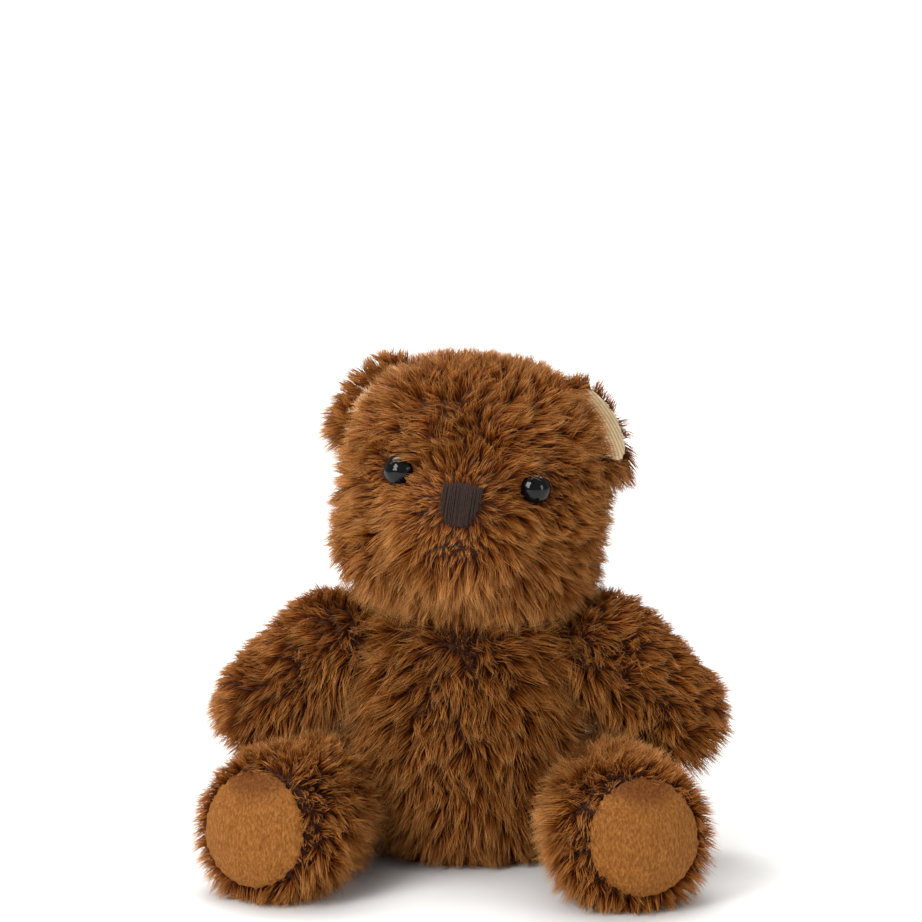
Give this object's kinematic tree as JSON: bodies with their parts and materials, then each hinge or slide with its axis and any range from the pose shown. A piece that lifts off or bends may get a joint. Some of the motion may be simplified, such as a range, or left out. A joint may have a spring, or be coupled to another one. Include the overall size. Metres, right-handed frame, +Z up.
{
  "type": "jointed teddy bear",
  "caption": "Sitting teddy bear of long-pile plush with disc joints at neck, shoulders and hips, safety eyes, stitched nose and mouth, and velour sole pads.",
  "frame": {"origin": "middle of the flat seat, on the surface the bear sits on", "axes": "+Z up, the bear looks along -Y, +X towards the bear's own left side"},
  "size_m": [0.2086, 0.1551, 0.2021],
  "materials": {
    "plush": "matte",
    "velboa": "matte",
    "ear_linen": "matte",
    "stuffing": "matte",
    "embroidery_thread": "satin",
    "eye_black": "gloss",
    "nylon": "matte"
  },
  "bodies": {
    "torso": {"torso_front_panel": "plush", "torso_back_panel": "plush", "torso_filling": "stuffing", "neck_disc": "nylon", "shoulder_left_disc": "nylon", "shoulder_right_disc": "nylon", "hip_left_disc": "nylon", "hip_right_disc": "nylon"},
    "head": {"head_gusset": "plush", "head_side_left": "plush", "head_side_right": "plush", "head_filling": "stuffing", "ear_left_back": "plush", "ear_left_lining": "ear_linen", "ear_right_back": "plush", "ear_right_lining": "ear_linen", "eye_left": "eye_black", "eye_right": "eye_black", "eye_left_washer": "nylon", "eye_right_washer": "nylon", "nose_stitching": "embroidery_thread", "mouth_stitching": "embroidery_thread", "neck_stud": "nylon", "neck_lock_ring": "nylon"},
    "arm_left": {"arm_left_outer": "plush", "arm_left_inner": "plush", "arm_left_filling": "stuffing", "shoulder_left_stud": "nylon", "shoulder_left_lock_ring": "nylon"},
    "leg_left": {"leg_left_outer": "plush", "leg_left_inner": "plush", "leg_left_filling": "stuffing", "leg_left_sole": "velboa", "hip_left_stud": "nylon", "hip_left_lock_ring": "nylon"},
    "arm_right": {"arm_right_outer": "plush", "arm_right_inner": "plush", "arm_right_filling": "stuffing", "shoulder_right_stud": "nylon", "shoulder_right_lock_ring": "nylon"},
    "leg_right": {"leg_right_outer": "plush", "leg_right_inner": "plush", "leg_right_filling": "stuffing", "leg_right_sole": "velboa", "hip_right_stud": "nylon", "hip_right_lock_ring": "nylon"}
  },
  "joints": [
    {"name": "neck_turn", "type": "hinge", "parent": "torso", "child": "head", "pos_m": [-0.004, 0, 0.103], "axis": [0.1219, 0, 0.9925], "continuous": true},
    {"name": "shoulder_left", "type": "hinge", "parent": "torso", "child": "arm_left", "pos_m": [0.0365, 0, 0.079], "axis": [-0.9397, 0, -0.342], "range_deg": [-60, 115]},
    {"name": "shoulder_right", "type": "hinge", "parent": "torso", "child": "arm_right", "pos_m": [-0.0365, 0, 0.079], "axis": [-0.9397, 0, 0.342], "range_deg": [-60, 115]},
    {"name": "hip_left", "type": "hinge", "parent": "torso", "child": "leg_left", "pos_m": [0.03624, 0.00361, 0.027], "axis": [0.9781, 0.2079, 0], "range_deg": [-5, 95]},
    {"name": "hip_right", "type": "hinge", "parent": "torso", "child": "leg_right", "pos_m": [-0.03624, 0.00361, 0.027], "axis": [0.9781, -0.2079, 0], "range_deg": [-5, 95]}
  ]
}
